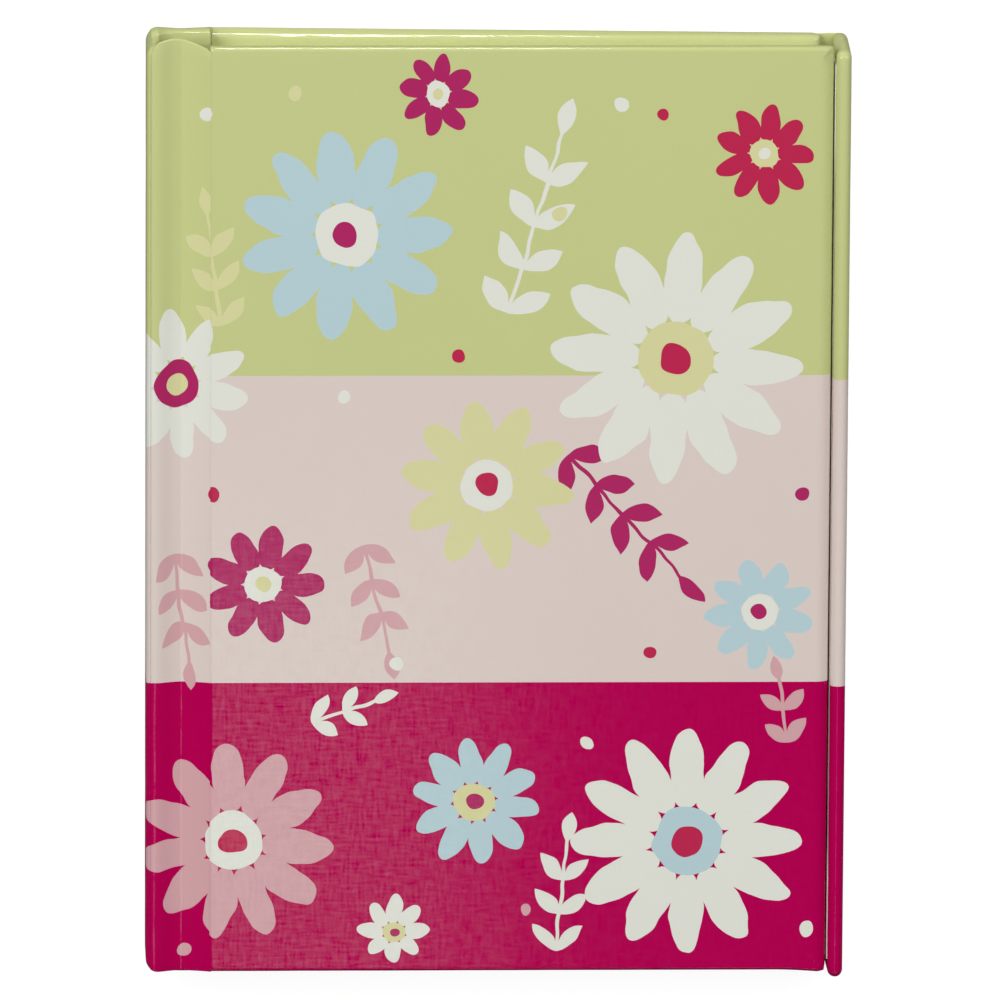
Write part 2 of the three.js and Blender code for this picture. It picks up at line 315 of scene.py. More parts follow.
def sprig(maker, sheet, base, foot, direction, size, pairs, tint):
    """Paired leaves repeat along a stem; both sides are drawn at once, on the distance from the stem"""
    own = maker.node("Mapping", {"vector_type": "TEXTURE"}, sheet,
                     Location=(foot[0] * mm, foot[1] * mm, 0), Rotation=(0, 0, math.radians(direction)))
    along = maker.node("SeparateXYZ", None, own)
    aside = along.output(1).math("ABSOLUTE")
    length = size * mm
    reach = length * (pairs + stem_beyond)
    step = along.math("WRAP", length, 0.0)
    lengthwise = (step * math.cos(leaf_tilt) + aside * math.sin(leaf_tilt)) / (length / 2) - 1.0
    across = (aside * math.cos(leaf_tilt) - step * math.sin(leaf_tilt)).math("ABSOLUTE")
    crosswise = across / (length * leaf_width / 2)
    leaves = (lengthwise * lengthwise + crosswise) < 1.0
    stem = aside < stem_width
    tip = ((along - reach) / (length * tip_length)) ** 2 + aside / (length * tip_width)
    within = (along > 0.0) * (along < pairs * length)
    drawn = (leaves * within).math("MAXIMUM", stem * (along > 0.0) * (along < reach)).math("MAXIMUM", tip < 1.0)
    return maker.mix(drawn, base, tint)


def printed_paper():
    maker = Maker("printed_paper")
    flat = maker.node("UVMap", {"uv_map": print_map})
    u = maker.node("SeparateXYZ", None, flat)
    v = u.output(1)
    again = u + (u < repeat_from) * repeat_length + (u < plain_from) * plain_length
    bands = maker.mix(v < pink_starts, green, pink)
    color = maker.mix(v < magenta_starts, bands, magenta)
    tremble = maker.node("TexNoise", None, Vector=flat, Scale=hand_scale, Detail=1.0, out=1)
    tremble = maker.node("VectorMath", {"operation": "MULTIPLY_ADD"}, tremble,
                         (hand_cut, hand_cut, 0), (-hand_cut / 2, -hand_cut / 2, 0))
    sheet = maker.node("VectorMath", {"operation": "ADD"}, maker.node("CombineXYZ", None, again, v), tremble)
    for spec in sprigs:
        color = sprig(maker, sheet, color, *spec)
    for x, y, radius, tint in dots:
        away = maker.node("VectorMath", {"operation": "DISTANCE"}, sheet, (x * mm, y * mm, 0), out=1)
        color = maker.mix(away < radius * mm, color, tint)
    for spec in daisies:
        color = daisy(maker, sheet, color, *spec)
    lengthwise = maker.node("Mapping", None, flat, Scale=(thread_stretch, 1.0, 1.0))
    crosswise = maker.node("Mapping", None, flat, Scale=(1.0, thread_stretch, 1.0))
    weft = maker.noise(lengthwise, thread_scale, 2.0)
    warp = maker.noise(crosswise, thread_scale, 2.0)
    cloud = maker.noise(flat, cloud_scale, 3.0)
    weave = warp + weft - 1.0
    tone = weave * 0.05 + (cloud - 0.5) * 0.03 + 1.0
    toned = maker.node("VectorMath", {"operation": "SCALE"}, color, Scale=tone)
    roughness = cloud * 0.08 + weave * 0.08 + 0.2
    film = weave * 1.3 + cloud * 0.05 + 0.37
    bump = weave + maker.noise(flat, dimple_scale, 2.0) * 0.7 + cloud
    return maker.surface(toned, roughness, bump, grain_depth, IOR=1.45, Specular_IOR_Level=0.0,
                         Coat_Weight=film, Coat_Roughness=0.095, Coat_IOR=1.5)


print_finish = printed_paper()


# FRONT COVER PAPER
# The printed sheet is glued over a greyboard 2.2 mm thick. It lies flat on the face, rolls over the edges and
# is turned in by 14 mm inside, where the pastedown covers its raw edge.
paper = 0.3 * mm
turn_in = 14 * mm
board_corner = 1.6 * mm
board_roll = 1.3 * mm
soft_roll = 2.6 * mm
slight_wave = 0.035 * mm
broad_wave_length = 9 * mm
fine_wave_length = 3.2 * mm
fine_wave_share = 0.45
ring_step = 2.0 * mm
corner_steps = 6
face_insets = (20, 12, 7, 4, 2.8)
roll_steps = 10
turn_steps = 8
smallest_corner = 0.12 * mm


def clamp(value):
    return min(1.0, max(0.0, value))


def waver(point, reach=1.0):
    """How far the glued sheet stands off its board at a place"""
    broad = noise.noise(Vector(point) / broad_wave_length)
    fine = noise.noise(Vector(point) / fine_wave_length + Vector((7, 3, 1)))
    return (broad + fine_wave_share * fine) * slight_wave * reach


def ring_points(width, height, corner):
    """Places round a rectangle whose sides are inset by the corner radius: (point, normal)"""
    a = width / 2 - corner
    b = height / 2 - corner
    ends = ((a, -b), (a, b), (-a, b), (-a, -b))
    ring = []
    for i, (start_a, start_b) in enumerate(ends):
        end_a, end_b = ends[(i + 1) % 4]
        turn = i * math.pi / 2
        for k in range(corner_steps):
            angle = turn - math.pi / 2 * (1 - k / corner_steps)
            ring.append(((start_a, start_b), (math.cos(angle), math.sin(angle))))
        steps = max(2, round(math.hypot(end_a - start_a, end_b - start_b) / ring_step))
        for k in range(steps):
            point = (start_a + (end_a - start_a) * k / steps, start_b + (end_b - start_b) * k / steps)
            ring.append((point, (math.cos(turn), math.sin(turn))))
    return ring


def wrap_profile(thickness, roll, turn, soft):
    """Section of a wrapped board from the middle of its face to its turned-in edge: (inset, depth, flat run)"""
    profile = [(inset * mm, 0.0, None) for inset in face_insets if inset * mm > soft]
    run = 0.0
    for k in range(roll_steps + 1):
        angle = math.pi / 2 * k / roll_steps
        inset, depth = soft * (1 - math.sin(angle)), roll * (1 - math.cos(angle))
        if k:
            run += math.hypot(inset - profile[-1][0], depth - profile[-1][1])
        profile.append((inset, depth, run))
    profile.append((0.0, thickness / 2, run + thickness / 2 - roll))
    run += thickness - 2 * roll
    for k in range(turn_steps + 1):
        angle = math.pi / 2 * k / turn_steps
        profile.append((roll * (1 - math.cos(angle)), thickness - roll * (1 - math.sin(angle)), run + roll * angle))
    run += roll * math.pi / 2
    for inset in (2.4 * mm, 5 * mm, turn):
        if roll < inset <= turn:
            profile.append((inset, thickness, run + inset - roll))
    return profile


# At the head and the tail the edges are pressed to a narrow facet: (inset, depth) of the face's and the inside's
pressed_face = ((1.05, 0), (0.80, 0.01), (0.62, 0.04), (0.48, 0.10), (0.40, 0.17), (0.31, 0.270), (0.22, 0.370),
                (0.14, 0.47), (0.06, 0.66), (0.01, 0.95), (0, 1.3))
pressed_inside = ((0, 1.3), (0.03, 0.84), (0.10, 0.58), (0.20, 0.42), (0.287, 0.322), (0.373, 0.225), (0.46, 0.128),
                  (0.75, 0.02), (1.3, 0))


def pressed_ends(profile, thickness):
    """The same rows as the profile's, as they run over the head and the tail"""
    first = next(i for i, row in enumerate(profile) if row[2] is not None)
    ends = [[inset, depth, run] for inset, depth, run in profile]
    for k, (inset, depth) in enumerate(pressed_face):
        ends[first + k][:2] = inset * mm, depth * mm
    for k, (inset, depth) in enumerate(pressed_inside):
        ends[first + len(pressed_face) + 1 + k][:2] = inset * mm, thickness - depth * mm
    for i in range(first + 1, len(ends)):
        step = math.hypot(ends[i][0] - ends[i - 1][0], ends[i][1] - ends[i - 1][1])
        ends[i][2] = ends[i - 1][2] + step
    return ends


def wrapped_board(name, middle, size, thickness, turn, roll, place, flat, soft=None):
    """The sheet round a board. 'place' turns (along, across, depth) into the frame, 'flat' into the print."""
    pressed = soft is not None
    soft = soft or roll
    corner = max(board_corner, roll + 0.1 * mm)
    ring = ring_points(*size, corner)
    profile = [p for p in wrap_profile(thickness, roll, turn, soft) if p[0] < min(size) / 2 - 0.05 * mm]
    last_inset, last_depth, last_run = profile[-1]
    count = len(profile)
    inner = [(last_inset, last_depth - paper, last_run)]
    if last_inset > roll + paper:
        inner.append((roll + paper, thickness - paper, last_run))
    inner += [(paper, thickness / 2, 0.0), (roll + paper, paper, 0.0)]
    ends = (pressed_ends(profile, thickness) if pressed else profile) + inner
    start = next(i for i, row in enumerate(profile) if row[2] is not None)
    vertices, places = [], []
    for row, (side_inset, side_depth, run) in enumerate(profile + inner):
        end_inset, end_depth, end_run = ends[row]
        for (a, b), normal in ring:
            share = normal[1] ** 2
            inset = side_inset + (end_inset - side_inset) * share
            depth = side_depth + (end_depth - side_depth) * share
            radius = max(corner - inset, smallest_corner)
            shrink_a = (size[0] / 2 - inset - radius) / (size[0] / 2 - corner)
            shrink_b = (size[1] / 2 - inset - radius) / (size[1] / 2 - corner)
            point_a = middle[0] + a * shrink_a + normal[0] * radius
            point_b = middle[1] + b * shrink_b + normal[1] * radius
            flat_a, flat_b = point_a, point_b
            if run is not None:
                flat_a += normal[0] * (run - profile[start][0] + side_inset)
                flat_b += normal[1] * (end_run - ends[start][0] + end_inset)
            spot = place(point_a, point_b, depth)
            fade = 0.0 if row >= count else clamp((9 * mm - inset) / (6 * mm))
            if depth < thickness * 0.9 and fade:
                off = waver(spot, fade)
                rolled = min(1, depth / roll)
                spot = place(
                    point_a + normal[0] * off * rolled,
                    point_b + normal[1] * off * rolled,
                    depth + max(-off, 0) * (1 - rolled),
                )
            vertices.append(spot)
            places.append(flat(flat_a, flat_b))
    made = smooth_object(name, vertices, tube_faces(len(ring), len(ends)), places, print_finish)
    made["outer"] = count * len(ring)
    return made


def tube_faces(around, rows):
    """Faces between rings of the same number of points, and one at each end"""
    faces = [tuple(range(around)), tuple(reversed(range((rows - 1) * around, rows * around)))]
    for first in range(0, (rows - 1) * around, around):
        for i in range(around):
            j = (i + 1) % around
            faces.append((first + i, first + j, first + around + j, first + around + i))
    return faces


def smooth_object(name, vertices, faces, places, material):
    """A smooth mesh that keeps each vertex's place on the flat sheet, where it has one, as a UV map"""
    mesh = bpy.data.meshes.new(name)
    mesh.from_pydata([tuple(v) for v in vertices], [], faces)
    mesh.materials.append(material)
    if places is not None:
        layer = mesh.uv_layers.new(name=print_map)
        for loop in mesh.loops:
            layer.data[loop.index].uv = places[loop.vertex_index]
    for polygon in mesh.polygons:
        polygon.use_smooth = True
    made = bpy.data.objects.new(name, mesh)
    add_to_scene(made)
    shape = bmesh.new()
    shape.from_mesh(mesh)
    bmesh.ops.recalc_face_normals(shape, faces=shape.faces)
    shape.to_mesh(mesh)
    shape.free()
    return made


front_low, front_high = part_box("front_board")
board_inset = 0.4 * mm
fore_slack = 0.12 * mm
face_z = front_high.z + board_inset
front_left = front_low.x - board_inset
front_right = front_high.x + board_inset + fore_slack
head_y = front_high.y + board_inset
tail_y = front_low.y - board_inset
middle_y = (head_y + tail_y) / 2
cover_thickness = front_high.z - front_low.z + 2 * board_inset
board_height = head_y - tail_y

front_cover_paper = wrapped_board(
    "front_cover_paper",
    ((front_left + front_right) / 2, middle_y),
    (front_right - front_left, board_height),
    cover_thickness, turn_in, board_roll,
    lambda a, b, depth: (a, b, face_z - depth),
    lambda a, b: (a, b),
    soft_roll,
)


# FRONT GROOVE
# Between the spine and the front board the same sheet is pressed down to the mull and creased, so that the
# cover can fold there. Its head and tail ends are folded over, which leaves them round.
spine_low, spine_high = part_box("spine_board")
spine_left = spine_low.x - board_inset
spine_right = spine_high.x + board_inset
spine_thickness = spine_right - spine_left
spine_roll = spine_thickness / 2 - 0.05 * mm
spine_top = spine_high.z + board_inset
ridge_x = (spine_left + spine_right) / 2
ridge_z = spine_top - spine_roll
crease_x = -62.15 * mm
floor_z = 13.08 * mm
groove_sheet = 0.62 * mm
end_steps = 4
end_short = 0.5 * mm


def curve_between(start, start_way, end, end_way, count):
    """Points of a Bezier curve, without its first"""
    start, end = Vector(start), Vector(end)
    one, two = start + Vector(start_way), end - Vector(end_way)
    points = []
    for k in range(1, count + 1):
        t = k / count
        points.append(start * (1 - t) ** 3 + one * 3 * t * (1 - t) ** 2 + two * 3 * t * t * (1 - t) + end * t ** 3)
    return points


def path_length(path):
    return sum((two - one).length for one, two in zip(path, path[1:]))


def path_normals(path):
    """The way across a path at each of its points"""
    ways = [path[min(i + 1, len(path) - 1)] - path[max(i - 1, 0)] for i in range(len(path))]
    return [Vector((-way.y, way.x)).normalized() for way in ways]


def there_and_back(count):
    """Along one side of a sheet's path and back along the other: (index, side)"""
    return [(i, 1) for i in range(count)] + [(i, -1) for i in reversed(range(count))]


def folded_strip(name, path, ends, thick, first_u, side):
    """A doubled strip of the sheet: a path in XZ carried along Y between two round ends"""
    run = [path_length(path[:i + 1]) for i in range(len(path))]
    normals = [normal * side for normal in path_normals(path)]
    half = thick / 2
    steps = round((ends[1] - ends[0]) / ring_step)
    turns = [math.pi / 2 * k / end_steps for k in range(end_steps + 1)]
    opening = [(ends[0] + half * (1 - math.cos(turn)), math.sin(turn)) for turn in turns]
    flat_from, flat_to = ends[0] + half, ends[1] - half
    middle = [(flat_from + (flat_to - flat_from) * k / steps, 1.0) for k in range(1, steps)]
    closing = [(ends[0] + ends[1] - y, share) for y, share in reversed(opening)]
    stations = opening + middle + closing
    vertices, places = [], []
    for y, share in stations:
        for i, layer in there_and_back(len(path)):
            point = path[i] - normals[i] * half + normals[i] * half * layer * max(share, 0.02)
            spot = Vector((point.x, y, point.y))
            if layer == 1 and 2 < i < len(path) - 3:
                off = waver(spot, 0.8)
                spot = Vector((point.x + normals[i].x * off, y, point.y + normals[i].y * off))
            vertices.append(spot)
            places.append((first_u + side * run[i], y))
    return smooth_object(name, vertices, tube_faces(2 * len(path), len(stations)), places, print_finish)


# The sheet's path over the rib, in mm from the middle of the spine board and from the level of the cover's face
rib_crown = ((-0.42, -0.10), (-0.12, 0.0), (0.2, 0.025), (0.6, 0.03), (0.95, 0.0), (1.25, -0.06))
crease_half = 0.35 * mm
crease_depth = 0.05 * mm


def groove_path(board_left):
    """Over the spine's rib, down to the crease, and up again to the edge of the board's face"""
    points = [Vector((ridge_x + x * mm, face_z + z * mm)) for x, z in rib_crown]
    down, flat = (1.2 * mm, -0.30 * mm), (2.0 * mm, -0.50 * mm)
    points += curve_between(points[-1], down, (crease_x - crease_half, floor_z), flat, 12)
    points += [Vector((crease_x + x * mm, floor_z - crease_depth)) for x in (-0.2, -0.1, 0.1, 0.2)]
    points += [Vector((crease_x + crease_half, floor_z))]
    top = Vector((board_left + 0.12 * mm, face_z - 0.16 * mm))
    points += curve_between(points[-1], (1.8 * mm, 0.42 * mm), top, (1.6 * mm, 0.62 * mm), 14)
    points += [top + Vector((0.16 * mm, 0.05 * mm)), top + Vector((0.4 * mm, -0.05 * mm))]
    return points


front_path = groove_path(front_left)
front_groove_start = front_left - path_length(front_path)

# The folded head end stands out past the boards beside the spine and draws in over the front board: (x, reach)
headcap = ((-69.2, -1.4), (-68.2, -0.4), (-67.4, 0.7), (-66.6, 1.4), (-64.4, 2.0), (-62.1, 1.8), (-59.4, 0.9),
           (-57.5, 0.0), (-56.4, -0.9), (-55.5, -1.6))
corner_reach = 2.4 * mm
middle_x = (front_left + front_right) / 2
fore_squareness = 0.6
crisp_radius = 0.45 * mm
flat_run = 10 * mm


def along_table(table, x):
    """The second column of a table in mm, at a place along its first"""
    for (x0, y0), (x1, y1) in zip(table, table[1:]):
        if x < x1 * mm:
            share = max(0.0, (x / mm - x0) / (x1 - x0))
            return (y0 + (y1 - y0) * share) * mm
    return table[-1][1] * mm


def near_end(y, run=13 * mm):
    """1 at the head and tail edges, and 0 from a run inside them"""
    return clamp((abs(y) - (head_y - run)) / run) ** 2


def near_head(y, run=13 * mm):
    return near_end(y, run) if y > 0 else 0.0


def reshape(made, rule):
    """Moves every vertex along Y by what the rule says of its place"""
    for vertex in made.data.vertices:
        vertex.co.y += rule(vertex.co)


def square_corners(made, left, right):
    """The corners beside the groove are square, because the sheet runs on there; those of the fore edge nearly so"""
    for vertex in made.data.vertices:
        past = max(left + board_corner - vertex.co.x, vertex.co.x - right + board_corner)
        beyond = abs(vertex.co.y - middle_y) - board_height / 2 + board_corner
        if past > 0 and beyond > 0:
            stretch = math.hypot(past, beyond) / max(past, beyond) - 1
            if vertex.co.x > middle_x:
                stretch *= fore_squareness
            vertex.co.x += math.copysign(past * stretch, vertex.co.x - middle_x)
            vertex.co.y += math.copysign(beyond * stretch, vertex.co.y - middle_y)


def crisp_edge(made, left, face, inward, reach, end_table, flat=None):
    """Presses the sheet down flat against the board beside the groove, where the board ends in a crisp edge"""
    layer = made.data.uv_layers[print_map]
    table = sorted(end_table)
    moved = set()
    for vertex in made.data.vertices[:made["outer"]]:
        past = vertex.co.x - left
        depth = (vertex.co.z - face) * inward
        inset = board_height / 2 - abs(vertex.co.y - middle_y)
        if past < reach and depth < 0.98 * board_roll:
            gap = max(0.0, 1 - past / crisp_radius) if flat else 0.0
            side_drop = crisp_radius * (1 - math.sqrt(max(0.0, 1 - gap * gap)))
            vertex.co.z = face + inward * max(side_drop, along_table(table, inset))
            moved.add(vertex.index)
        elif past < flat_run and depth < 0.12 * mm and inset > table[-1][0] * mm:
            vertex.co.z = face
    if flat:
        for loop in made.data.loops:
            if loop.vertex_index in moved:
                layer.data[loop.index].uv.x = flat(made.data.vertices[loop.vertex_index].co.x, 0)[0]


def rounded_corner(point, own_roll=0.0):
    """Draws the ends of the sheet in where they near the left outline, so that its corners are round"""
    past = min(corner_reach, max(0.0, spine_left + corner_reach - point.x))
    drop = corner_reach - math.sqrt(corner_reach ** 2 - past ** 2)
    if own_roll:
        past = min(own_roll, max(0.0, spine_left + own_roll - point.x))
        drop -= own_roll - math.sqrt(own_roll ** 2 - past ** 2)
    near = clamp((abs(point.y - middle_y) - board_height / 2 + 6 * mm) / (3.6 * mm))
    return -math.copysign(drop * near, point.y)


def cap_bow(point):
    """How far the groove's sheet stands out at its head end, as a headcap does"""
    return along_table(headcap, point.x) * near_head(point.y) + rounded_corner(point)


front_groove_paper = folded_strip(
    "front_groove_paper", front_path, (tail_y, head_y - end_short), groove_sheet, front_groove_start, 1,
)
reshape(front_groove_paper, cap_bow)
square_corners(front_cover_paper, front_left, front_right)
crisp_edge(front_cover_paper, front_left, face_z, -1, soft_roll, pressed_face, lambda a, b: (a, b))
crisp_edge(front_cover_paper, front_left, face_z - cover_thickness, 1, board_roll, pressed_inside)


# The fore edge is rounder than the others
fore_round = 2.4 * mm
fore_drop = 0.45 * mm
for vertex in front_cover_paper.data.vertices[:front_cover_paper["outer"]]:
    past = 1 - (front_right - vertex.co.x) / fore_round
    if past > 0:
        share = (vertex.co.z - face_z + cover_thickness) / (cover_thickness - board_roll)
        vertex.co.z -= fore_drop * past * past * min(1.0, share)
front_head_draw = 0.2 * mm
front_tail_reach = 0.5 * mm


def front_skew(point):
    """The head edge is drawn in a little, and the tail corner of the fore edge reaches out a little"""
    bent = clamp((point.x - 55 * mm) / (9 * mm)) ** 2
    return -(front_head_draw if point.y > 0 else front_tail_reach * bent) * near_end(point.y)


reshape(front_cover_paper, front_skew)
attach(front_cover_paper, "front_cover")
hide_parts("front_covering")
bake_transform(front_groove_paper)
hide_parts("front_joint_strip")


# SPINE PAPER
# The spine board stands on edge and is covered by the same sheet, which is turned in at the head and the tail.
# Its shoulder beside the front groove shows as a rounded rib.
rib_run = math.radians(70) * spine_roll
spine_flat = front_groove_start - rib_run
spine_turn_in = 1.8 * mm
spine_skew = 1.7 * mm
spine_paper = wrapped_board(
    "spine_paper",
    (spine_top / 2, middle_y),
    (spine_top, board_height),
    spine_thickness, spine_turn_in, spine_roll,
    lambda a, b, depth: (spine_left + depth, b, a),
    lambda a, b: (spine_flat + a - ridge_z, b),
)
reshape(spine_paper, lambda point: (
    rounded_corner(point, spine_roll) + spine_skew * (1 - point.z / spine_top) * near_head(point.y)))

# Its shoulder is pressed down where the groove's sheet lies over it, so that the open cover can rest there
end_press = 0.3 * mm
further_press = 0.25 * mm
for vertex in spine_paper.data.vertices:
    under = clamp((vertex.co.x - ridge_x + 0.45 * mm) / (0.2 * mm))
    press = end_press + further_press * clamp((90 * mm - abs(vertex.co.y - middle_y)) / (2 * mm))
    vertex.co.z -= press * under * max(0.0, 1 - (spine_top - vertex.co.z) / (2 * mm))
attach(spine_paper, "spine")
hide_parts("spine_covering")


# BACK COVER PAPER
# The back board lies on the table, wrapped in the same sheet as the front board. Between it and the spine the
# sheet makes a second groove, on which the spine leans out as the cover opens.
back_low, back_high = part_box("back_board")
back_left = back_low.x - board_inset
back_right = back_high.x + board_inset
back_path = [Vector((point.x, max(spine_top - point.y, 0.0))) for point in groove_path(back_left)]
back_groove_start = spine_flat - ridge_z - rib_run
back_groove_skew = 2.15 * mm
back_groove_paper = folded_strip(
    "back_groove_paper", back_path, (tail_y + end_short, head_y - end_short), groove_sheet, back_groove_start, -1,
)

# At both ends its inner fold stands up between the spine and the block, highest against the spine board
fold_level = 7.2 * mm
fold_rise = 3 * mm
fold_from = 88.8 * mm
outer_table = [(spot.x / mm, spot.y / mm) for spot in back_path]
for vertex in back_groove_paper.data.vertices:
    point = vertex.co
    if point.z > along_table(outer_table, point.x) + 0.4 * mm:
        level = fold_level + fold_rise * math.exp(min(0.0, (spine_right - point.x) / (1.5 * mm)))
        point.z += max(0.0, level - point.z) * clamp((abs(point.y - middle_y) - fold_from) / (1.2 * mm))
reshape(back_groove_paper, lambda point: rounded_corner(point) + back_groove_skew * near_head(point.y))
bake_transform(back_groove_paper)
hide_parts("back_joint_strip")

back_flat = back_groove_start - path_length(back_path) - soft_roll


def back_print(a, b):
    return back_flat - (a - back_left - soft_roll), b


back_cover_paper = wrapped_board(
    "back_cover_paper",
    ((back_left + back_right) / 2, middle_y),
    (back_right - back_left, board_height),
    cover_thickness, turn_in, board_roll,
    lambda a, b, depth: (a, b, depth), back_print, soft_roll,
)


# The head end of the back board's edge leans outwards, most of all near the spine: height above the table, reach
lean_out = ((0.0, 1.75), (0.6, 1.5), (1.5, 0.95), (2.5, 0.33), (3.0, 0.33))


def back_skew(point):
    share = min(1.1, max(0.15, 1.0 - (point.x + 48.5 * mm) / (150 * mm)))
    return along_table(lean_out, point.z) * share * near_head(point.y, 8 * mm)


square_corners(back_cover_paper, back_left, back_right)
crisp_edge(back_cover_paper, back_left, 0.0, 1, soft_roll, pressed_face, back_print)
crisp_edge(back_cover_paper, back_left, cover_thickness, -1, board_roll, pressed_inside)
reshape(back_cover_paper, back_skew)
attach(back_cover_paper, "back_cover")
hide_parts("back_covering")


# FLAP
# A narrow board along the fore edge stands up against the front cover when the journal is shut. The sheet runs
# on from the back cover under its round foot, so it folds there, and its inner face is lined with endpaper.
flap_low, flap_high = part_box("flap_board")
flap_inner = flap_low.x - board_inset
flap_outer = flap_high.x + board_inset
flap_thickness = flap_outer - flap_inner
flap_roll = flap_thickness / 2 - 0.05 * mm
flap_drop = head_y - (flap_high.y + board_inset)
flap_top = flap_high.z + board_inset
foot_x = (flap_inner + flap_outer) / 2
hinge_flat = back_flat - (back_right - back_left - 2 * soft_roll)
foot_flat = hinge_flat - (foot_x - back_right + soft_roll)
flap_flat = foot_flat - flap_roll * math.pi / 2
flap_middle = (flap_low.y + flap_high.y) / 2
flap_turn_in = 3.6 * mm
flap_skew = 2.4 * mm
flap_head_draw = 0.4 * mm
flap_tail_reach = 0.6 * mm

flap_paper = wrapped_board(
    "flap_paper",
    (flap_top / 2, flap_middle),
    (flap_top, board_height),
    flap_thickness, flap_turn_in, flap_roll,
    lambda a, b, depth: (flap_outer - depth, b, a),
    lambda a, b: (flap_flat - (a - flap_roll), b + flap_drop),
)


def flap_lean(point):
    """The flap's head end leans out towards its foot, and its tail end reaches out a little"""
    head = flap_skew * (1 - point.z / flap_top) - flap_head_draw
    return (head if point.y > 0 else -flap_tail_reach) * near_end(point.y, 9 * mm)


reshape(flap_paper, flap_lean)
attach(flap_paper, "flap")
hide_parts("flap_covering")

# The hinge lies flat under the flap's foot, whose round rolls on it as the flap turns
hinge_sheet = 0.34 * mm
hinge_path = [Vector((back_right - board_roll + (0.25 + 0.4 * k) * mm, 0.0)) for k in range(13)]
hinge_bow = ((61.0, 0.0), (62.4, 0.15), (63.6, 0.35), (65.0, 0.45), (67.6, 0.4))
foot_radius = 1.5 * mm
hinge_bulge = 0.15 * mm
least_sheet = 0.02 * mm
flap_hinge_paper = folded_strip(
    "flap_hinge_paper", hinge_path, (tail_y + 0.4 * mm, head_y - 0.2 * mm), hinge_sheet, hinge_flat, -1,
)
for vertex in flap_hinge_paper.data.vertices:
    point = vertex.co
    foot = 1.0
    if point.x > flap_inner:
        foot = foot_radius - math.sqrt(max(0.0, foot_radius ** 2 - (foot_x - point.x) ** 2))
    if point.z > 0.1 * mm:
        bulge = hinge_bulge * near_head(point.y, 5 * mm) * math.sin(math.pi * clamp((point.x - 62.5 * mm) / (4 * mm)))
        point.z = min(point.z + bulge, max(foot - least_sheet, least_sheet))
    point.z = max(point.z, 0.0)
    point.y += along_table(hinge_bow, point.x) * near_head(point.y, 5 * mm)
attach(flap_hinge_paper, "back_cover")
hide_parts("flap_joint_strip")


# ENDPAPERS
# Uncoated off-white paper. One leaf of each pair is pasted inside the cover and the other turns with the block,
# and a strip of it lines the flap, where the paste has cockled its edge a little.
def plain_paper(name, tint, grain, gloss=0.86):
    maker = Maker(name)
    place = maker.node("TexCoord", None, out=3)
    fibre = maker.noise(place, 1400.0, 3.0)
    cloud = maker.noise(place, 60.0, 2.0)
    tone = (fibre - 0.5) * grain + (cloud - 0.5) * 0.03 + 1.0
    color = maker.node("VectorMath", {"operation": "SCALE"}, tint[:3], Scale=tone)
    return maker.surface(color, gloss + (fibre - 0.5) * 0.08, fibre, 0.02 * mm, Specular_IOR_Level=0.3)


def dress(finish, *nodes):
    """Gives a finish to solids that are seen as they are"""
    for node in nodes:
        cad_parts[node].data.materials.clear()
        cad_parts[node].data.materials.append(finish)


endpaper_finish = plain_paper("endpaper", srgb(243, 240, 230), 0.05)
dress(endpaper_finish, "front_pastedown", "back_pastedown", "back_flyleaf")
endpaper_sheet = 0.14 * mm
strip_step = 2.5 * mm


def paper_strip(name, path, ends, thick, ripple=None):
    """A thin sheet of endpaper that follows a path in XZ and runs along Y"""
    normals = path_normals(path)
    count = round((ends[1] - ends[0]) / strip_step)
    vertices = []
    for k in range(count + 1):
        y = ends[0] + (ends[1] - ends[0]) * k / count
        for i, layer in there_and_back(len(path)):
            off = thick / 2 * layer + (ripple(i / (len(path) - 1), y) if ripple else 0.0)
            vertices.append((path[i].x + normals[i].x * off, y, path[i].y + normals[i].y * off))
    made = smooth_object(name, vertices, tube_faces(2 * len(path), count + 1), None, endpaper_finish)
    for polygon in made.data.polygons:
        polygon.use_smooth = len(polygon.vertices) == 4
    made.data.set_sharp_from_angle(angle=math.radians(50))
    return made


lining_low, lining_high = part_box("flap_lining")


def lining_ripple(share, y):
    broad = noise.noise(Vector((y / (11 * mm), 2.0, 0)))
    fine = noise.noise(Vector((y / (4 * mm), 5.0, 0)))
    return share ** 3 * 0.06 * mm * (broad + 0.4 * fine)


lining_x = (lining_low.x + lining_high.x) / 2
lining_rise = lining_high.z - 0.2 * mm - lining_low.z
lining_path = [Vector((lining_x, lining_low.z + lining_rise * k / 12)) for k in range(13)]
flap_lining_paper = paper_strip(
    "flap_lining_paper", lining_path, (lining_low.y, lining_high.y), lining_high.x - lining_low.x, lining_ripple,
)

# Its free edge sits a little lower along the middle, where the gap looks dark
lining_sag = 0.6 * mm
for vertex in flap_lining_paper.data.vertices:
    low = max(0.0, (vertex.co.z - 9 * mm) / (4.4 * mm))
    away = clamp((74 * mm - abs(vertex.co.y)) / (8 * mm))
    vertex.co.z -= lining_sag * low * away
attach(flap_lining_paper, "flap")
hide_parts("flap_lining")

# The front flyleaf, from the fold of the block across the crease to the fore edge
fly_low, fly_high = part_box("front_flyleaf")
hinge_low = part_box("front_endpaper_hinge")[0]
fly_z = (fly_low.z + fly_high.z) / 2
fly_path = [Vector((hinge_low.x + 0.25 * mm * k, fly_z)) for k in range(24)]
fly_path += [Vector((fly_path[-1].x + (fly_high.x - fly_path[-1].x) * k / 16, fly_z)) for k in range(1, 17)]
front_endpaper = paper_strip("front_endpaper", fly_path, (fly_low.y, fly_high.y), endpaper_sheet)
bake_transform(front_endpaper)
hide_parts("front_flyleaf", "front_endpaper_hinge")

